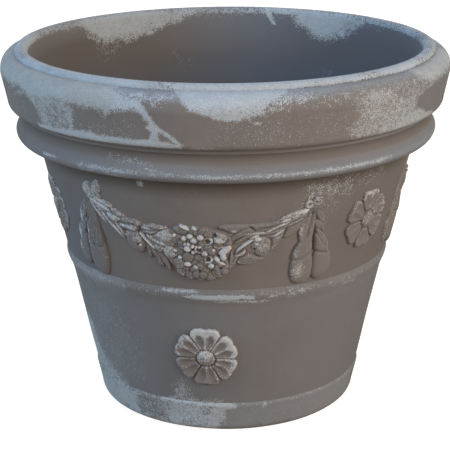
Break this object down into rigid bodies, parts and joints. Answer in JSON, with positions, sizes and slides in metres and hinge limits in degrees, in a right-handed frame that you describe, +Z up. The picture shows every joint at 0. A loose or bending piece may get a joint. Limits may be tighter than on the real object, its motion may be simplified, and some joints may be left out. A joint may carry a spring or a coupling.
{
  "type": "festoon planter",
  "caption": "Round tapered clay planter with a heavy rolled rim, a collar, a waist band, a foot ring, fruit garlands and rosettes, and a drainage hole.",
  "frame": {"origin": "centre of the underside, on the ground", "axes": "+Z up along the pot's axis; the front, with one garland a little left of its middle, faces -Y"},
  "size_m": [0.5, 0.5, 0.411],
  "materials": {
    "bare_clay": "matte fired clay in a grey-brown taupe, fine grained, with thin traces of a pale wash",
    "brushed_clay": "matte taupe clay with a speckled pale wash that clings to its crest",
    "washed_clay": "matte taupe clay under large, worn, ragged-edged patches of a blue-grey white wash",
    "relief_clay": "matte taupe clay relief with a pale wash rubbed on to its raised edges"
  },
  "bodies": {
    "root": {"floor_slab": "bare_clay", "foot_ring": "bare_clay", "lower_wall": "bare_clay", "waist_band": "brushed_clay", "upper_wall": "bare_clay", "collar_roll": "brushed_clay", "rim_roll": "washed_clay", "left_spray_1": "relief_clay", "left_spray_2": "relief_clay", "left_spray_3": "relief_clay", "right_spray_1": "relief_clay", "right_spray_2": "relief_clay", "right_spray_3": "relief_clay", "posy_1": "relief_clay", "posy_2": "relief_clay", "posy_3": "relief_clay", "left_bow_1": "relief_clay", "left_bow_2": "relief_clay", "left_bow_3": "relief_clay", "right_bow_1": "relief_clay", "right_bow_2": "relief_clay", "right_bow_3": "relief_clay", "left_drops_1": "relief_clay", "left_drops_2": "relief_clay", "left_drops_3": "relief_clay", "right_drops_1": "relief_clay", "right_drops_2": "relief_clay", "right_drops_3": "relief_clay", "upper_rosette_1": "relief_clay", "upper_rosette_2": "relief_clay", "upper_rosette_3": "relief_clay", "lower_rosette_1": "relief_clay", "lower_rosette_2": "relief_clay", "lower_rosette_3": "relief_clay"}
  },
  "joints": []
}
